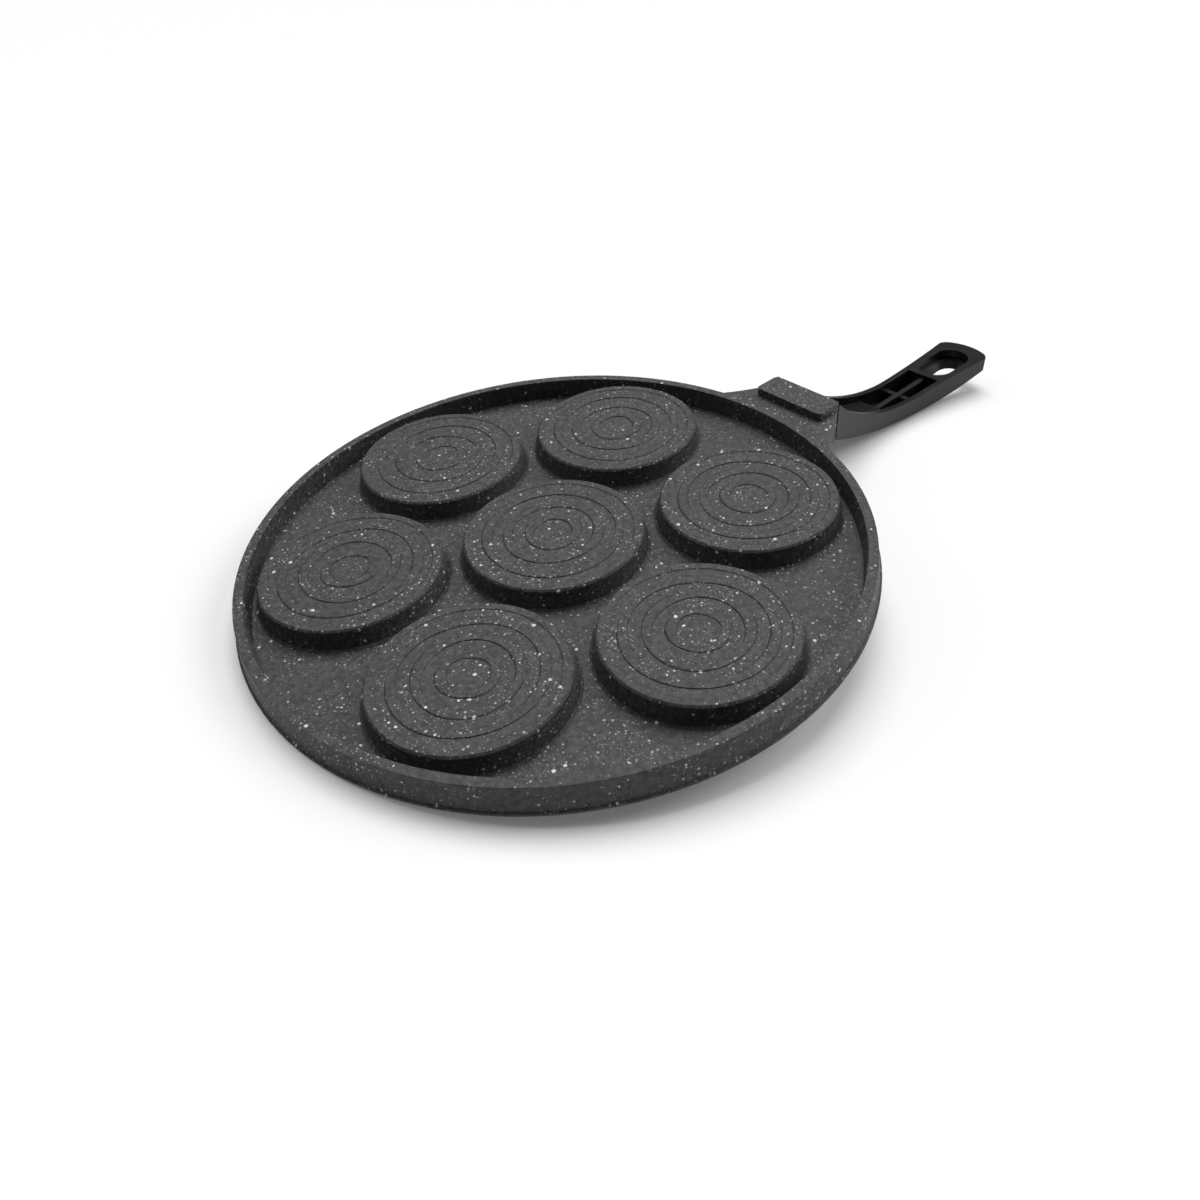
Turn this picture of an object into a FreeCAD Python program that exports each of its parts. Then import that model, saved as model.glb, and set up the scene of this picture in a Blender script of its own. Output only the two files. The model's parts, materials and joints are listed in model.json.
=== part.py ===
import FreeCAD, Part
import math
import os
import re

import Sketcher

# Pancake pan lying upside down, as it comes to rest: on the mouth edge and on the back of its
# grip. A cast aluminium body carries seven round wells, a base ring and a bracket, and a
# hollow phenolic grip is moulded round the bracket's tongue.
#
# Each piece is drawn in the pan's own frame: origin at the centre of the base, Z out of the
# base, grip along X. The rest tilt is then the same Placement on every piece.

SIZES = {
    "skirt_draft": 2.3,
    "base_ring_width": 3.9,
    "base_ring_draft": 0.8,
    "rim_radius": 130.0,
    "rim_depth": 11.5,
    "rim_wall": 3.2,
    "lip_width": 0.8,
    "lip_height": 1.4,
    "plate_wall": 2.1,
    "well_rise": 8.8,
    "well_gap": 3.2,
    "well_ring_gap": 1.3,
    "well_draft": 1.6,
    "well_base_edge": 0.8,
    "edge_band_width": 4.0,
    "edge_band_rise": 0.35,
    "well_foot_edge": 1.0,
    "well_side_wall": 2.5,
    "well_floor_wall": 2.8,
    "well_floor_edge": 1.6,
    "bracket_reach": 29.0,
    "seam_half_width": 18.5,
    "seam_depth": 26.5,
    "bracket_drop": 7.2,
    "bracket_foot_half_width": 45.0,
    "bracket_flare_radius": 110.0,
    "bracket_root_depth": 3.0,
    "bracket_belly_radius": 60.0,
    "shoulder_drop": 3.4,
    "shoulder_length": 15.0,
    "shoulder_half_width": 19.5,
    "shoulder_corner": 2.0,
    "tongue_length": 22.0,
    "tongue_half_width": 8.0,
    "tongue_root_drop": 13.5,
    "tongue_root_height": 9.0,
    "tongue_tip_drop": 27.5,
    "tongue_tip_height": 6.0,
    "tongue_hole_from_seam": 12.0,
    "tongue_hole_radius": 3.0,
    "grip_root_half_width": 18.3,
    "grip_waist_half_width": 12.0,
    "grip_waist_from_seam": 76.0,
    "grip_end_half_width": 15.4,
    "grip_length": 147.0,
    "seam_gap": 1.4,
    "grip_root_drop": 5.6,
    "grip_flat_drop": 38.5,
    "grip_flat_from_seam": 86.0,
    "grip_low_drop": 52.0,
    "grip_low_from_seam": 103.0,
    "grip_end_depth": 8.4,
    "grip_back_bevel": 2.4,
    "grip_wall": 3.0,
    "grip_skin": 3.0,
    "recess_depth": 4.2,
    "channel_from_seam": 60.0,
    "channel_eye_gap": 3.0,
    "web_thickness": 3.0,
    "web_drop": 2.0,
    "cross_web_drop": 3.5,
    "eye_from_end": 25.0,
    "eye_half_length": 16.5,
    "eye_half_width": 9.3,
    "eye_ledge_width": 2.0,
    "eye_ledge_depth": 5.0,
    "end_corner": 8.0,
    "end_radius": 26.0,
}

# Sizes that follow from the ones above. Three wells in a row fill the base ring from side to
# side, so their radius is what the ring and the gaps leave.
DERIVED = {
    "base_outer_radius": "rim_radius-skirt_draft",
    "base_inner_radius": "base_outer_radius-base_ring_width-base_ring_draft",
    "well_reach": "(base_inner_radius-well_gap-well_ring_gap)/3",
    "well_foot_radius": "well_reach-well_foot_edge",
    "well_base_radius": "well_foot_radius-well_draft",
    "well_circle_radius": "well_reach*2+well_gap",
    "seam_from_axis": "rim_radius+bracket_reach",
    "eye_from_seam": "grip_length-eye_from_end",
    "channel_to_seam": "eye_from_seam-eye_half_length-channel_eye_gap",
    "cross_web_from_seam": "(channel_from_seam+channel_to_seam-web_thickness)/2",
}

doc = FreeCAD.newDocument("pancake_pan")
sheet = doc.addObject("Spreadsheet::Sheet", "Sizes")
for row, (alias, number) in enumerate(SIZES.items(), start=1):
    sheet.set("A%d" % row, alias)
    sheet.set("B%d" % row, str(number))
    sheet.setAlias("B%d" % row, alias)
doc.recompute()


def pointed(word):
    if word in DERIVED:
        return "(" + named(DERIVED[word]) + ")"
    return "Sizes." + word if word in SIZES else word


def named(text):
    """An expression of the sheet's names, with each name pointed at the sheet."""
    return re.sub(r"[a-z_]+", lambda word: pointed(word.group()), text)


def value(text):
    """The number that an expression of the sheet's names has now."""
    return float(sheet.evalExpression(named(text)))


def new_body(label):
    body = doc.addObject("PartDesign::Body", label)
    body.Label = label
    return body


def origin_part(body, role):
    return next(part for part in body.Origin.OriginFeatures if part.Role == role)


def short_arc(start, end, radius):
    """The short arc between two spots, as the sketcher keeps it: turning left. A positive
    radius has it turn left on its way from start to end, a negative one right."""
    if radius < 0:
        start, end = end, start
    chord = end - start
    left = FreeCAD.Vector(-chord.y, chord.x, 0).normalize()
    rise = math.sqrt(radius * radius - chord.Length ** 2 / 4)
    centre = (start + end) * 0.5 + left * rise
    first = math.atan2(start.y - centre.y, start.x - centre.x)
    last = math.atan2(end.y - centre.y, end.x - centre.x)
    if last < first:
        last += 2 * math.pi
    circle = Part.Circle(centre, FreeCAD.Vector(0, 0, 1), abs(radius))
    return Part.ArcOfCircle(circle, first, last)


def pin(sketch, line, end, spot):
    """Holds one end of a line at a spot given by two expressions."""
    for kind, text in (("DistanceX", spot[0]), ("DistanceY", spot[1])):
        constraint = Sketcher.Constraint(kind, -1, 1, line, end, value(text))
        number = sketch.addConstraint(constraint)
        sketch.setExpression("Constraints[%d]" % number, named(text))


def outline(body, name, role, corners, offset=None):
    """A closed sketch on an origin plane. A corner is two expressions for its place and, where
    the side that leaves it is round, a third for that side's radius, with short_arc's sign."""
    sketch = body.newObject("Sketcher::SketchObject", name)
    sketch.AttachmentSupport = [(origin_part(body, role), "")]
    sketch.MapMode = "FlatFace"
    if offset:
        sketch.setExpression(".AttachmentOffset.Base.z", named(offset))
    spots = [FreeCAD.Vector(value(corner[0]), value(corner[1]), 0) for corner in corners]
    begins = []
    for index, corner in enumerate(corners):
        start = spots[index]
        end = spots[(index + 1) % len(spots)]
        if len(corner) == 2:
            sketch.addGeometry(Part.LineSegment(start, end), False)
            begins.append(1)
        else:
            sketch.addGeometry(short_arc(start, end, value(corner[2])), False)
            begins.append(1 if value(corner[2]) > 0 else 2)
    for index, begin in enumerate(begins):
        follower = (index + 1) % len(begins)
        joint = Sketcher.Constraint("Coincident", index, 3 - begin, follower, begins[follower])
        sketch.addConstraint(joint)
    for index, corner in enumerate(corners):
        pin(sketch, index, begins[index], corner)
        if len(corner) == 3:
            size = corner[2].lstrip("-")
            number = sketch.addConstraint(Sketcher.Constraint("Radius", index, value(size)))
            sketch.setExpression("Constraints[%d]" % number, named(size))
    return sketch


def add_axis(sketch, first, second):
    """A construction line through two spots, for a turned feature."""
    spots = [FreeCAD.Vector(value(spot[0]), value(spot[1]), 0) for spot in (first, second)]
    line = sketch.addGeometry(Part.LineSegment(*spots), True)
    pin(sketch, line, 1, first)
    pin(sketch, line, 2, second)


def feature(body, kind, name, sketch, lengths=None, **settings):
    """A PartDesign feature of one sketch, with its lengths bound to the sheet."""
    item = body.newObject("PartDesign::" + kind, name)
    item.Profile = sketch
    sketch.Visibility = False
    for key, setting in settings.items():
        setattr(item, key, setting)
    for key, text in (lengths or {}).items():
        item.setExpression(key, named(text))
    body.Tip = item
    return item


def turned(body, kind, name, sketch, axis="V_Axis"):
    return feature(body, kind, name, sketch, ReferenceAxis=(sketch, [axis]), Angle=360.0)


def six_times(body, name, original):
    pattern = body.newObject("PartDesign::PolarPattern", name)
    pattern.Originals = [original]
    pattern.Axis = (origin_part(body, "Z_Axis"), [""])
    pattern.Angle = 360.0
    pattern.Occurrences = 6
    body.Tip = pattern
    return pattern


def off_axis(corners, axis):
    return [(axis + "+" + corner[0], corner[1]) for corner in corners]


def cup_corners():
    """The outside of one well's cup, from its base, where a raised band runs round the edge,
    down into the plate."""
    return [
        ("0", "-edge_band_rise"),
        ("well_base_radius-edge_band_width", "-edge_band_rise"),
        ("well_base_radius-edge_band_width+edge_band_rise", "0"),
        ("well_base_radius-well_base_edge", "0"),
        ("well_base_radius", "-well_base_edge"),
        ("well_foot_radius", "-well_rise+well_foot_edge"),
        ("well_foot_radius+well_foot_edge", "-well_rise"),
        ("well_foot_radius+well_foot_edge", "-well_rise-plate_wall"),
        ("0", "-well_rise-plate_wall"),
    ]


def hollow_corners():
    """The inside of one well's cup, a casting wall away from its outside."""
    side = "well_base_radius-well_side_wall"
    mouth = "well_foot_radius-well_side_wall"
    return [
        ("0", "-well_floor_wall"),
        (side + "-well_floor_edge", "-well_floor_wall"),
        (side, "-well_floor_wall-well_floor_edge"),
        (mouth, "-well_rise-plate_wall+well_base_edge"),
        (mouth + "+well_base_edge", "-well_rise-plate_wall"),
        (mouth + "+well_base_edge", "-rim_depth-lip_width"),
        ("0", "-rim_depth-lip_width"),
    ]


def add_wells(body, kind, name, corners):
    """The middle one of seven turned features and the six round it."""
    sketch = outline(body, "middle_%s_section" % name, "YZ_Plane", corners)
    turned(body, kind, "middle_" + name, sketch)
    corners = off_axis(corners, "well_circle_radius")
    sketch = outline(body, "outer_%s_section" % name, "YZ_Plane", corners)
    add_axis(sketch, ("well_circle_radius", "0"), ("well_circle_radius", "-rim_depth"))
    outer = turned(body, kind, "outer_" + name, sketch, "Axis0")
    six_times(body, "outer_%ss" % name, outer)


def make_casting():
    """The cast body: base ring, drafted skirt with its small mouth lip, well plate, the seven
    cups, and the bracket with its shoulder."""
    body = new_body("casting")
    plate_under = "-well_rise-plate_wall"
    rim_inside = "rim_radius-rim_wall"
    shell = [
        ("0", "-well_rise"),
        ("base_inner_radius", "-well_rise"),
        ("base_outer_radius-base_ring_width", "0"),
        ("base_outer_radius", "0"),
        ("rim_radius-lip_width", "-rim_depth+lip_height"),
        ("rim_radius", "-rim_depth+lip_height-lip_width/2"),
        ("rim_radius", "-rim_depth"),
        (rim_inside, "-rim_depth"),
        (rim_inside + "-base_ring_draft", plate_under),
        ("0", plate_under),
    ]
    turned(body, "Revolution", "shell", outline(body, "shell_section", "XZ_Plane", shell))
    add_wells(body, "Revolution", "cup", cup_corners())

    half = "seam_half_width"
    skirt = "(rim_radius-lip_width)"
    foot_half = "bracket_foot_half_width"
    foot_x = "sqrt(%s^2-%s^2)" % (skirt, foot_half)
    root_x = foot_x + "-bracket_root_depth"
    bracket = [
        ("seam_from_axis", "-" + half),
        ("seam_from_axis", half, "-bracket_flare_radius"),
        (foot_x, foot_half),
        (root_x, foot_half, "-(%s-bracket_root_depth)" % skirt),
        (root_x, "-" + foot_half),
        (foot_x, "-" + foot_half, "-bracket_flare_radius"),
    ]
    sketch = outline(body, "bracket_plan", "XY_Plane", bracket, "-bracket_drop")
    feature(body, "Pad", "bracket", sketch, {"Length": "seam_depth-bracket_drop"}, Reversed=True)
    belly = [
        ("base_outer_radius/2", "-rim_depth"),
        ("rim_radius-rim_wall", "-rim_depth", "-bracket_belly_radius"),
        ("seam_from_axis", "-seam_depth"),
        ("seam_from_axis", "-seam_depth*2"),
        ("base_outer_radius/2", "-seam_depth*2"),
    ]
    sketch = outline(body, "bracket_belly_side", "XZ_Plane", belly)
    feature(body, "Pocket", "bracket_belly", sketch, Type=1, Midplane=True)

    back = "seam_from_axis-shoulder_length"
    half = "shoulder_half_width"
    shoulder = [
        ("seam_from_axis", "-seam_half_width"),
        ("seam_from_axis", "seam_half_width"),
        ("seam_from_axis-shoulder_corner", half),
        (back + "+shoulder_corner", half, "shoulder_corner"),
        (back, half + "-shoulder_corner"),
        (back, "-%s+shoulder_corner" % half, "shoulder_corner"),
        (back + "+shoulder_corner", "-" + half),
        ("seam_from_axis-shoulder_corner", "-" + half),
    ]
    sketch = outline(body, "shoulder_plan", "XY_Plane", shoulder, "-bracket_drop")
    feature(body, "Pad", "shoulder", sketch, {"Length": "bracket_drop-shoulder_drop"})
    add_wells(body, "Groove", "well", hollow_corners())
    return body


def make_tongue():
    """The tongue that the bracket holds out into the grip, with the hole that locks it."""
    body = new_body("tongue")
    root = "seam_from_axis-shoulder_length/2"
    tip = "seam_from_axis+tongue_length"
    side = [
        (root, "-tongue_root_drop"),
        ("seam_from_axis", "-tongue_root_drop"),
        (tip, "-tongue_tip_drop"),
        (tip, "-tongue_tip_drop-tongue_tip_height"),
        ("seam_from_axis", "-tongue_root_drop-tongue_root_height"),
        (root, "-tongue_root_drop-shoulder_corner"),
    ]
    sketch = outline(body, "tongue_side", "XZ_Plane", side)
    feature(body, "Pad", "tongue_pad", sketch, {"Length": "tongue_half_width*2"}, Midplane=True)
    sketch = body.newObject("Sketcher::SketchObject", "tongue_hole_plan")
    sketch.AttachmentSupport = [(origin_part(body, "XY_Plane"), "")]
    sketch.MapMode = "FlatFace"
    centre = FreeCAD.Vector(value("seam_from_axis+tongue_hole_from_seam"), 0, 0)
    radius = value("tongue_hole_radius")
    sketch.addGeometry(Part.Circle(centre, FreeCAD.Vector(0, 0, 1), radius), False)
    pin(sketch, 0, 3, ("seam_from_axis+tongue_hole_from_seam", "0"))
    number = sketch.addConstraint(Sketcher.Constraint("Radius", 0, radius))
    sketch.setExpression("Constraints[%d]" % number, named("tongue_hole_radius"))
    feature(body, "Pocket", "tongue_hole", sketch, Type=1, Midplane=True)
    return body


# How near, in mm, two places count as one.
SPOT_SIZE = 0.5


def flat_radius(run, rise):
    """Radius of an arc that starts level and climbs by the rise over the run."""
    return "((%s)^2+(%s)^2)/(2*(%s))" % (run, rise, rise)


def grip_plan(body, name, inset):
    """The waisted plan of the grip, or of its hollow at an inset from it, as an open-ended
    cutter: everything outside the two side arcs."""
    root = "grip_root_half_width-" + inset
    waist = "grip_waist_half_width-" + inset
    end = "grip_end_half_width-" + inset
    waist_x = "seam_from_axis+grip_waist_from_seam"
    end_x = "seam_from_axis+grip_length"
    past = end_x + "+end_corner"
    outside = "grip_root_half_width+end_corner"
    near_radius = flat_radius("grip_waist_from_seam", "grip_root_half_width-grip_waist_half_width")
    far_radius = flat_radius("grip_length-grip_waist_from_seam",
                             "grip_end_half_width-grip_waist_half_width")
    sketches = []
    for side, sign in (("left", ""), ("right", "-")):
        turn = "-" if sign else ""
        corners = [
            ("seam_from_axis", "%s(%s)" % (sign, root), turn + near_radius),
            (waist_x, "%s(%s)" % (sign, waist), turn + far_radius),
            (end_x, "%s(%s)" % (sign, end)),
            (past, "%s(%s)" % (sign, end)),
            (past, "%s(%s)" % (sign, outside)),
            ("seam_from_axis", "%s(%s)" % (sign, outside)),
        ]
        sketches.append(outline(body, "%s_%s" % (side, name), "XY_Plane", corners))
    for sketch in sketches:
        feature(body, "Pocket", sketch.Name + "_trim", sketch, Type=1, Midplane=True)


def make_hollow():
    """The room inside the grip: a shallow recess over its closed root, then the deep channel
    with its long web and cross web left standing."""
    body = new_body("hollow")
    start = "seam_from_axis+grip_wall"
    step = "seam_from_axis+channel_from_seam"
    stop = "seam_from_axis+channel_to_seam"
    top_radius = flat_radius("grip_flat_from_seam", "grip_flat_drop-grip_root_drop")
    back_radius = flat_radius("grip_low_from_seam", "grip_low_drop-seam_depth")
    recess_radius = "(%s+recess_depth)" % top_radius
    floor_radius = "(%s-grip_skin)" % back_radius
    centre_z = "(%s-grip_flat_drop)" % top_radius
    back_centre_z = "(%s-grip_low_drop)" % back_radius

    def recess_z(way):
        return "%s-sqrt(%s^2-(grip_flat_from_seam-%s)^2)" % (centre_z, recess_radius, way)

    def channel_z(way):
        return "%s-sqrt(%s^2-(grip_low_from_seam-%s)^2)" % (back_centre_z, floor_radius, way)

    side = [
        (start, "0"),
        (start, recess_z("grip_wall"), recess_radius),
        (step, recess_z("channel_from_seam")),
        (step, channel_z("channel_from_seam"), floor_radius),
        (stop, channel_z("channel_to_seam")),
        (stop, "0"),
    ]
    sketch = outline(body, "hollow_side", "XZ_Plane", side)
    width = {"Length": "grip_root_half_width*2"}
    feature(body, "Pad", "hollow_pad", sketch, width, Midplane=True)
    grip_plan(body, "hollow_plan", "grip_wall")
    for name, near_x, far_x, drop, across in (
        ("web", step, stop, "web_drop", "web_thickness"),
        ("cross_web", "seam_from_axis+cross_web_from_seam",
         "seam_from_axis+cross_web_from_seam+web_thickness", "cross_web_drop",
         "grip_root_half_width*2"),
    ):
        corners = [
            (near_x, "-grip_flat_drop-" + drop),
            (far_x, "-grip_flat_drop-" + drop),
            (far_x, "-grip_low_drop"),
            (near_x, "-grip_low_drop"),
        ]
        sketch = outline(body, name + "_side", "XZ_Plane", corners)
        feature(body, "Pocket", name, sketch, {"Length": across}, Midplane=True)
    return body


def oval(body, name, half_length, half_width, offset=None):
    """A round-ended slot round the eye's centre."""
    straight = "(%s-%s)" % (half_length, half_width)
    centre = "seam_from_axis+eye_from_seam"
    near_x = "%s-%s" % (centre, straight)
    far_x = "%s+%s" % (centre, straight)
    tips = "%s-%s" % (centre, half_length), "%s+%s" % (centre, half_length)
    corners = [
        (near_x, "-" + half_width),
        (far_x, "-" + half_width, half_width),
        (tips[1], "0", half_width),
        (far_x, half_width),
        (near_x, half_width, half_width),
        (tips[0], "0", half_width),
    ]
    return outline(body, name, "XY_Plane", corners, offset)


def back_edges(body):
    """Names of the edges that run along the grip's back and round its end."""
    seam = value("seam_from_axis")
    flat = value("seam_from_axis+grip_flat_from_seam")
    end = value("seam_from_axis+grip_length-end_corner")
    radius = value(flat_radius("grip_flat_from_seam", "grip_flat_drop-grip_root_drop"))
    names = []
    for index, edge in enumerate(body.Shape.Edges, start=1):
        first, last = edge.ParameterRange
        spot = edge.valueAt((first + last) / 2)
        ends = [vertex.Point for vertex in edge.Vertexes]
        at_seam = spot.x < seam + SPOT_SIZE
        upright = max(abs(ends[0].x - ends[1].x), abs(ends[0].y - ends[1].y)) < SPOT_SIZE
        across = abs(spot.y) < SPOT_SIZE and spot.x < end
        way = max(flat - spot.x, 0)
        open_z = radius - math.sqrt(radius ** 2 - way ** 2) - value("grip_flat_drop")
        on_back = abs(spot.z - open_z) > SPOT_SIZE
        if on_back and not (at_seam or upright or across):
            names.append("Edge%d" % index)
    return names


def make_grip():
    """The outside of the moulded grip: its curved side view trimmed to its waisted plan, with
    a bevel round its back, an arched end and the stepped hanging eye."""
    body = new_body("grip")
    flat = "seam_from_axis+grip_flat_from_seam"
    low = "seam_from_axis+grip_low_from_seam"
    end = "seam_from_axis+grip_length"
    side = [
        ("seam_from_axis+seam_gap", "-grip_root_drop",
         flat_radius("grip_flat_from_seam-seam_gap", "grip_flat_drop-grip_root_drop")),
        (flat, "-grip_flat_drop"),
        (end, "-grip_flat_drop"),
        (end, "-grip_flat_drop-grip_end_depth",
         "-" + flat_radius("grip_length-grip_low_from_seam",
                           "grip_low_drop-grip_flat_drop-grip_end_depth")),
        (low, "-grip_low_drop",
         "-" + flat_radius("grip_low_from_seam-seam_gap", "grip_low_drop-seam_depth")),
        ("seam_from_axis+seam_gap", "-seam_depth"),
    ]
    sketch = outline(body, "grip_side", "XZ_Plane", side)
    width = {"Length": "grip_root_half_width*2"}
    feature(body, "Pad", "grip_pad", sketch, width, Midplane=True)
    grip_plan(body, "grip_plan", "0")
    half = "grip_end_half_width"
    along = "sqrt((end_radius-end_corner)^2-(%s-end_corner)^2)" % half
    share = "end_radius/(end_radius-end_corner)"
    shoulder = "%s-end_radius+%s" % (end, along)
    bow = "%s-end_radius+%s*%s" % (end, along, share)
    bow_half = "(%s-end_corner)*%s" % (half, share)
    past = end + "+end_corner"
    outside = half + "+end_corner"
    trim = [
        (shoulder, "-(%s)" % outside),
        (past, "-(%s)" % outside),
        (past, outside),
        (shoulder, outside),
        (shoulder, half, "-end_corner"),
        (bow, bow_half, "-end_radius"),
        (bow, "-" + bow_half, "-end_corner"),
        (shoulder, "-" + half),
    ]
    sketch = outline(body, "end_plan", "XY_Plane", trim)
    feature(body, "Pocket", "end_trim", sketch, Type=1, Midplane=True)
    doc.recompute()
    before = body.Tip
    edges = back_edges(body)
    bevel = body.newObject("PartDesign::Chamfer", "back_bevel")
    bevel.Base = (before, edges)
    bevel.setExpression("Size", named("grip_back_bevel"))
    body.Tip = bevel
    sketch = oval(body, "eye_plan", "eye_half_length", "eye_half_width", "-grip_flat_drop")
    feature(body, "Pocket", "eye_step", sketch, {"Length": "eye_ledge_depth"})
    inner = "(eye_half_length-eye_ledge_width)", "(eye_half_width-eye_ledge_width)"
    sketch = oval(body, "eye_hole_plan", inner[0], inner[1])
    feature(body, "Pocket", "eye", sketch, Type=1)
    return body


casting = make_casting()
tongue = make_tongue()
grip = make_grip()
hollow = make_hollow()

pan = doc.addObject("Part::Fuse", "pan_casting")
pan.Base = casting
pan.Tool = tongue
pan.Refine = True
shell = doc.addObject("Part::Cut", "grip_shell")
shell.Base = grip
shell.Tool = hollow
handle = doc.addObject("Part::Cut", "handle_grip")
handle.Base = shell
handle.Tool = tongue
pieces = [pan, handle]
for piece in pieces:
    piece.Label = piece.Name
doc.recompute()

POINT_SPACING = 0.05
STEEPEST_LEAN = math.radians(20)
LEAN_ACCURACY = 1e-7


def points_of(shape):
    return shape.tessellate(POINT_SPACING)[0]


def lowest(points, tilt):
    return min(point.z * math.cos(tilt) + point.x * math.sin(tilt) for point in points)


def rest_tilt(body_points, grip_points):
    """The lean at which the mouth edge and the grip's back stand on one floor."""
    low, high = 0.0, STEEPEST_LEAN
    while high - low > LEAN_ACCURACY:
        middle = (low + high) / 2
        if lowest(grip_points, middle) < lowest(body_points, middle):
            low = middle
        else:
            high = middle
    return high


tilt = rest_tilt(points_of(pan.Shape), points_of(handle.Shape))
lean = FreeCAD.Rotation(FreeCAD.Vector(0, 1, 0), -math.degrees(tilt))
leaned = [lean.multVec(point) for piece in pieces for point in points_of(piece.Shape)]
middle_x = (min(point.x for point in leaned) + max(point.x for point in leaned)) / 2
floor_z = min(point.z for point in leaned)
for piece in pieces:
    piece.Placement = FreeCAD.Placement(FreeCAD.Vector(-middle_x, 0, -floor_z), lean)
doc.recompute()

for item in doc.Objects:
    if {"Invalid", "Error"} & set(item.State):
        raise RuntimeError("%s did not compute: %s" % (item.Name, item.State))
os.makedirs("parts", exist_ok=True)
for piece in pieces:
    if piece.Shape.isNull() or not piece.Shape.isValid() or len(piece.Shape.Solids) != 1:
        raise RuntimeError(piece.Label + " is not one valid solid")
    piece.Shape.exportStep("parts/%s.step" % piece.Label)
    print(piece.Label, round(piece.Shape.Volume / 1000, 1), "cm3", piece.Shape.BoundBox)
print("rest tilt", round(math.degrees(tilt), 3), "origin shift", round(middle_x, 3), round(floor_z, 3))
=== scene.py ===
import json
import math

import bpy
from mathutils import Matrix, Vector


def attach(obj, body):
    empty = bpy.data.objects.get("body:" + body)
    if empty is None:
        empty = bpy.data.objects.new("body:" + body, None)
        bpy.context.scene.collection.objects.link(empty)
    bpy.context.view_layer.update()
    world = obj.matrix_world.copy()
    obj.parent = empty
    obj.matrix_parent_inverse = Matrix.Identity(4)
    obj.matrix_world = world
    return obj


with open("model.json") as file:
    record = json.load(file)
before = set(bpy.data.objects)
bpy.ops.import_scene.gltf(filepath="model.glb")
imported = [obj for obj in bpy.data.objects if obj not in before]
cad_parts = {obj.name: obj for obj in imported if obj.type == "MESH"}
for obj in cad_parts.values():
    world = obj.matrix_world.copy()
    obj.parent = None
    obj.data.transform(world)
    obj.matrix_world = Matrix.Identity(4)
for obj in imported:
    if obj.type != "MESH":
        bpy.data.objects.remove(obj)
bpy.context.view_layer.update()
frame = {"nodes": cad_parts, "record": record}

# Pan casting
# Cast aluminium in one piece: skirt, well plate, seven well backs, base ring and bracket.
# All of it is sprayed with a stone-look non-stick coat: a dark grey fluoropolymer ground that
# light and dark flecks are spattered on while it is wet, then baked to a fine matt skin.


def colour(hex_code):
    """An sRGB hex colour as the linear RGBA that a shader socket takes."""
    parts = [int(hex_code[i:i + 2], 16) / 255 for i in (1, 3, 5)]
    return [p / 12.92 if p <= 0.04045 else ((p + 0.055) / 1.055) ** 2.4 for p in parts] + [1]


def per_metre(millimetres):
    """The texture scale at which a pattern repeats about once in that many millimetres."""
    return 1000 / millimetres


def new_material(name, **inputs):
    """A material with one Principled shader that starts from the given inputs."""
    material = bpy.data.materials.new(name)
    material.use_nodes = True
    shader = material.node_tree.nodes["Principled BSDF"]
    for socket, value in inputs.items():
        shader.inputs[socket.replace("_", " ")].default_value = value
    return material, shader


def socket_of(node, name):
    """A node's input by its number, as in _0, or by its name with underscores for spaces."""
    if name.startswith("_"):
        return node.inputs[int(name[1:])]
    return node.inputs[name.replace("_", " ")]


def add(tree, kind, settings=None, **inputs):
    """Adds a node. settings are its own fields. Each of the inputs gets a value, or a link
    from the output that feeds it."""
    node = tree.nodes.new("ShaderNode" + kind)
    for field, setting in (settings or {}).items():
        setattr(node, field, setting)
    for name, source in inputs.items():
        socket = socket_of(node, name)
        if isinstance(source, bpy.types.NodeSocket):
            tree.links.new(source, socket)
        else:
            socket.default_value = source
    return node


COLOUR_MIX = {"data_type": "RGBA"}
MULTIPLY = {"operation": "MULTIPLY"}
MULTIPLY_ADD = {"operation": "MULTIPLY_ADD"}
COAT_INDEX = 1.35
GROUND_DARK = colour("#363637")
GROUND_LIGHT = colour("#525253")
DARK_FLECK = colour("#28282a")
# Each spray: spacing, radius, share of the cells that hold a fleck and raggedness, all but the
# share in mm. The finest is drawn coarser than the real one, which is too fine to show.
DARK_SPRAY = (1.9, 0.45, 0.5, 0.3)
LIGHT_SPRAYS = (
    ((1.2, 0.36, 0.8, 0.2), colour("#868685")),
    ((2.1, 0.5, 0.55, 0.35), colour("#acacaa")),
    ((4.2, 0.7, 0.38, 0.6), colour("#dad9d5")),
)
# The smallest and largest fleck of a spray, as shares of its radius, and how many times its
# share of flecks it has where it fell thinnest and thickest.
SMALLEST = 0.5
LARGEST = 1.25
THINNEST = 0.15
THICKEST = 1.7
# In mm: patches of thin and thick spray, mottling of the ground, grain of the skin, wobble and
# soft rim of a fleck, and the rounding of the casting's edges.
SPRAY_PATCH = 16
GROUND_MOTTLE = 2.2
SKIN_GRAIN = 0.7
FLECK_WOBBLE = 1.1
FLECK_RIM = 0.2
EDGE_ROUND = 0.5
# In metres: moves the dark spray's cells, so that they aren't those of the light ones.
ASIDE = [0.37, 0.11, 0.23]
ROUGH_GROUND = 0.57
ROUGH_FLECK = 0.42

coating, coat = new_material("stone_coating_sprayed", IOR=COAT_INDEX)
tree = coating.node_tree
place = add(tree, "TexCoord").outputs["Object"]
drift = add(tree, "TexNoise", Vector=place, Scale=per_metre(SPRAY_PATCH), Detail=2.0)
crowd = add(tree, "MapRange", Value=drift.outputs["Fac"], From_Min=0.36, From_Max=0.64,
            To_Min=THINNEST, To_Max=THICKEST).outputs[0]


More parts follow.
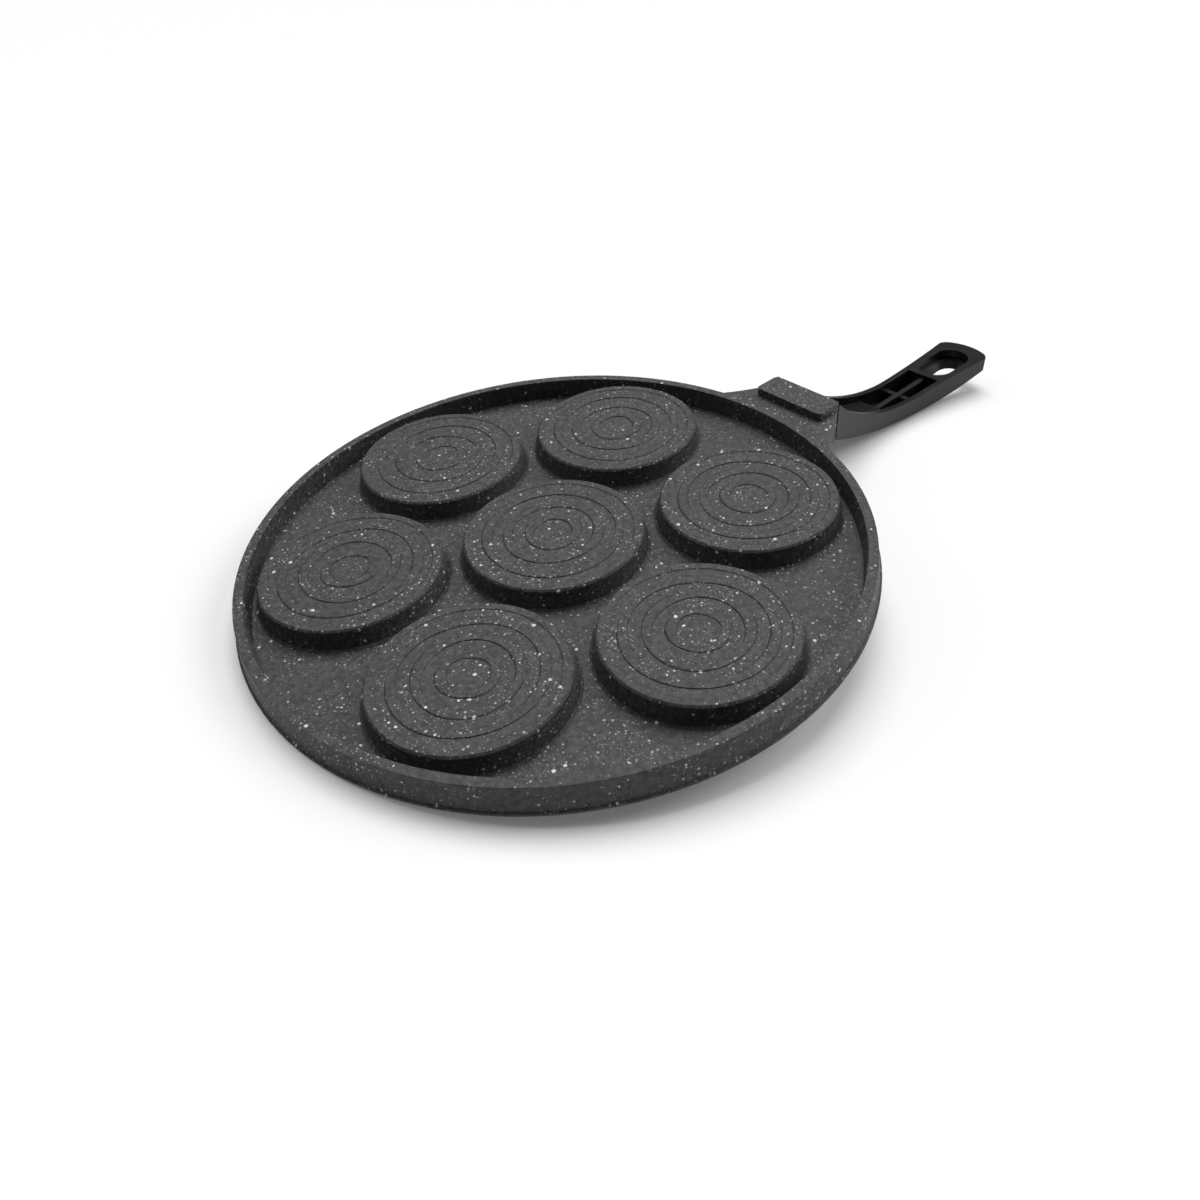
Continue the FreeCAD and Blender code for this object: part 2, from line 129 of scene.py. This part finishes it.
def fleck_mask(place, spacing, radius, share, ragged):
    """Where one spray of flecks lies: a dot in some of the cells, ragged at its edge."""
    wobble = add(tree, "TexNoise", Vector=place, Scale=per_metre(FLECK_WOBBLE), Detail=1.0)
    shaken = add(tree, "VectorMath", MULTIPLY_ADD, _0=wobble.outputs["Color"],
                 _1=[ragged / 1000] * 3, _2=place)
    cells = add(tree, "TexVoronoi", Vector=shaken.outputs[0], Scale=per_metre(spacing))
    lot = add(tree, "SeparateColor", Color=cells.outputs["Color"])
    limit = add(tree, "Math", MULTIPLY, _0=crowd, _1=share)
    chosen = add(tree, "Math", {"operation": "LESS_THAN"}, _0=lot.outputs["Red"],
                 _1=limit.outputs[0])
    size = add(tree, "MapRange", Value=lot.outputs["Green"],
               To_Min=SMALLEST * radius / spacing, To_Max=LARGEST * radius / spacing)
    depth = add(tree, "Math", {"operation": "SUBTRACT"}, _0=size.outputs[0],
                _1=cells.outputs["Distance"])
    inside = add(tree, "MapRange", Value=depth.outputs[0], From_Max=FLECK_RIM / spacing)
    return add(tree, "Math", MULTIPLY, _0=inside.outputs[0], _1=chosen.outputs[0]).outputs[0]


ground = add(tree, "TexNoise", Vector=place, Scale=per_metre(GROUND_MOTTLE), Detail=4.0,
             Roughness=0.65)
tone = add(tree, "MapRange", Value=ground.outputs["Fac"], From_Min=0.35, From_Max=0.65)
surface = add(tree, "Mix", COLOUR_MIX, _0=tone.outputs[0], _6=GROUND_DARK, _7=GROUND_LIGHT)
elsewhere = add(tree, "VectorMath", _0=place, _1=ASIDE).outputs[0]
speck = fleck_mask(elsewhere, *DARK_SPRAY)
surface = add(tree, "Mix", COLOUR_MIX, _0=speck, _6=surface.outputs[2], _7=DARK_FLECK)
raised = None
for spray, paint in LIGHT_SPRAYS:
    mask = fleck_mask(place, *spray)
    surface = add(tree, "Mix", COLOUR_MIX, _0=mask, _6=surface.outputs[2], _7=paint)
    if raised:
        mask = add(tree, "Math", {"operation": "MAXIMUM"}, _0=raised, _1=mask).outputs[0]
    raised = mask
tree.links.new(surface.outputs[2], coat.inputs["Base Color"])
gloss = add(tree, "MapRange", Value=raised, To_Min=ROUGH_GROUND, To_Max=ROUGH_FLECK)
tree.links.new(gloss.outputs[0], coat.inputs["Roughness"])
grain = add(tree, "TexNoise", Vector=place, Scale=per_metre(SKIN_GRAIN), Detail=2.0)
swell = add(tree, "Math", MULTIPLY_ADD, _0=ground.outputs["Fac"], _1=2.0,
            _2=grain.outputs["Fac"])
height = add(tree, "Math", MULTIPLY_ADD, _0=raised, _1=0.4, _2=swell.outputs[0])
edge = add(tree, "Bevel", {"samples": 4}, Radius=EDGE_ROUND / 1000)
relief = add(tree, "Bump", Height=height.outputs[0], Strength=0.3, Distance=0.0004,
             Normal=edge.outputs[0])
tree.links.new(relief.outputs[0], coat.inputs["Normal"])
frame["nodes"]["pan_casting"].material_slots[0].material = coating

# Bands on the well backs
# Each well back has three low rings round its centre, cast with it and coated with it. They
# stand as high as its edge band, so the pan touches the hob on all of them. The coat has
# filled their corners unevenly: their sides are steep in some places and slight in others.

# In mm: inner and outer radius of each band, its height, the mean run of its sides and how far
# it goes into the well back.
BANDS = ((8.2, 11.3), (16.9, 20.1), (25.6, 28.6))
BAND_HEIGHT = 0.35
BAND_SIDE = 0.55
BAND_ROOT = 0.05
# The run of the sides varies by this share, in so many waves to the turn. Each band starts
# them that many radians after the one before.
SIDE_UNEVEN = 0.75
SIDE_WAVES = 3
SIDE_PHASE = 2.4
BAND_STEPS = 96
WELL_CIRCLE = 82.2
OUTER_WELLS = 6
FIRST_WELL = 30

base_mount = frame["record"]["mounts"][0]
base_normal = Vector(base_mount["axis"])
base_spot = Vector(base_mount["pos_m"])
pan_frame = Matrix.Translation((base_spot.x, 0, base_spot.z))
pan_frame = pan_frame @ Matrix.Rotation(math.atan2(base_normal.x, base_normal.z), 4, "Y")
centres = [(0.0, 0.0)]
for well in range(OUTER_WELLS):
    angle = math.radians(FIRST_WELL + 360 / OUTER_WELLS * well)
    centres.append((WELL_CIRCLE * math.cos(angle), WELL_CIRCLE * math.sin(angle)))

spots = []
faces = []
phase = 0.0
for centre_x, centre_y in centres:
    for inner, outer in BANDS:
        first = len(spots)
        phase += SIDE_PHASE
        for step in range(BAND_STEPS):
            angle = math.tau * step / BAND_STEPS
            run = BAND_SIDE * (1 + SIDE_UNEVEN * math.sin(SIDE_WAVES * angle + phase))
            section = (
                (inner - run, -BAND_HEIGHT - BAND_ROOT),
                (outer + run, -BAND_HEIGHT - BAND_ROOT),
                (outer, 0),
                (inner, 0),
            )
            for radius, level in section:
                spot = Vector((centre_x + radius * math.cos(angle),
                               centre_y + radius * math.sin(angle), level))
                spots.append(pan_frame @ (spot / 1000))
        corners = len(section)
        for step in range(BAND_STEPS):
            here = first + corners * step
            after = first + corners * ((step + 1) % BAND_STEPS)
            for corner in range(corners):
                follower = (corner + 1) % corners
                faces.append((here + corner, after + corner, after + follower, here + follower))
mesh = bpy.data.meshes.new("disc_bands")
mesh.from_pydata(spots, [], faces)
mesh.materials.append(coating)
disc_bands = bpy.data.objects.new("disc_bands", mesh)
bpy.context.collection.objects.link(disc_bands)
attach(disc_bands, "root")

# Grip
# Phenolic resin, compression-moulded round the bracket's tongue. It has the satin skin of a
# steel mould, nearly black and finely mottled where the resin flowed, and its fine pores keep
# the shine low.
RESIN_SHINE = 0.15
FLOW_DARK = colour("#19191a")
FLOW_LIGHT = colour("#262627")
# In mm: marks of the flow, pores of the skin and rounding of the edges.
FLOW_MARK = 9
SKIN_PORE = 0.6
CORNER_ROUND = 0.6
ROUGH_DARK = 0.28
ROUGH_LIGHT = 0.36

phenolic, resin = new_material("phenolic_compression_moulded", Specular_IOR_Level=RESIN_SHINE)
tree = phenolic.node_tree
place = add(tree, "TexCoord").outputs["Object"]
flow = add(tree, "TexNoise", Vector=place, Scale=per_metre(FLOW_MARK), Detail=4.0,
           Distortion=0.6)
mottle = add(tree, "Mix", COLOUR_MIX, _0=flow.outputs["Fac"], _6=FLOW_DARK, _7=FLOW_LIGHT)
tree.links.new(mottle.outputs[2], resin.inputs["Base Color"])
gloss = add(tree, "MapRange", Value=flow.outputs["Fac"], To_Min=ROUGH_DARK, To_Max=ROUGH_LIGHT)
tree.links.new(gloss.outputs[0], resin.inputs["Roughness"])
pores = add(tree, "TexNoise", Vector=place, Scale=per_metre(SKIN_PORE), Detail=2.0)
edge = add(tree, "Bevel", {"samples": 4}, Radius=CORNER_ROUND / 1000)
relief = add(tree, "Bump", Height=pores.outputs["Fac"], Strength=0.1, Distance=0.0001,
             Normal=edge.outputs[0])
tree.links.new(relief.outputs[0], resin.inputs["Normal"])
frame["nodes"]["handle_grip"].material_slots[0].material = phenolic

# Studio floor
# A seamless sheet of matt white paper. What the camera sees of it is lifted to full white,
# and the pan's shadow stays on it.
WHITE = colour("#ffffff")
PAPER_WHITE = colour("#f2f2f2")
FLOOR_SIZE = 12.0
FLOOR_LIFT = 0.11

bpy.ops.mesh.primitive_plane_add(size=FLOOR_SIZE)
floor = bpy.context.object
floor.name = "studio_floor"
paper, sheet = new_material("paper_matt_rolled", Base_Color=PAPER_WHITE, Roughness=0.95,
                            Emission_Color=WHITE)
tree = paper.node_tree
rays = add(tree, "LightPath")
seen = add(tree, "Math", {"operation": "MAXIMUM"}, _0=rays.outputs["Is Camera Ray"],
           _1=rays.outputs["Is Glossy Ray"])
lift = add(tree, "MapRange", Value=seen.outputs[0], To_Max=FLOOR_LIFT)
tree.links.new(lift.outputs[0], sheet.inputs["Emission Strength"])
floor.data.materials.append(paper)

# Light
# One broad light overhead and a little behind the pan, a weaker one from the right, a faint one
# from the left and a faint even glow. Together they light a level surface so that a colour
# shows as it is. Only the camera sees the far wall of the studio as full white.
LIGHTS = {
    # name: azimuth it comes from, elevation, strength, angular size
    "overhead": (50, 66, 2.25, 44),
    "right_fill": (-20, 36, 1.25, 34),
    "left_fill": (130, 40, 0.3, 50),
}
GLOW = 0.065

bpy.context.scene.view_settings.view_transform = "Standard"
world = bpy.data.worlds.new("studio")
bpy.context.scene.world = world
world.use_nodes = True
tree = world.node_tree
far_wall = tree.nodes["Background"]
far_wall.inputs["Color"].default_value = WHITE
rays = add(tree, "LightPath")
brightness = add(tree, "MapRange", Value=rays.outputs["Is Camera Ray"], To_Min=GLOW, To_Max=1.0)
tree.links.new(brightness.outputs[0], far_wall.inputs["Strength"])
for name, (azimuth, elevation, strength, size) in LIGHTS.items():
    lamp = bpy.data.lights.new(name, "SUN")
    lamp.energy = strength
    lamp.angle = math.radians(size)
    light = bpy.data.objects.new(name, lamp)
    bpy.context.collection.objects.link(light)
    light.rotation_euler = (0, math.radians(90 - elevation), math.radians(azimuth))

# Camera
# Close to the pan, with a wide lens, from the side away from the grip.
CAMERA_PLACE = (-0.28442, -0.25225, 0.23648)
CAMERA_TURN = (52.155, -0.091, -40.937)

lens = bpy.data.cameras.new("photo")
lens.lens = 28.14
lens.sensor_width = 36
lens.clip_start = 0.01
camera = bpy.data.objects.new("photo", lens)
camera.location = CAMERA_PLACE
camera.rotation_euler = [math.radians(angle) for angle in CAMERA_TURN]
bpy.context.collection.objects.link(camera)
bpy.context.scene.camera = camera
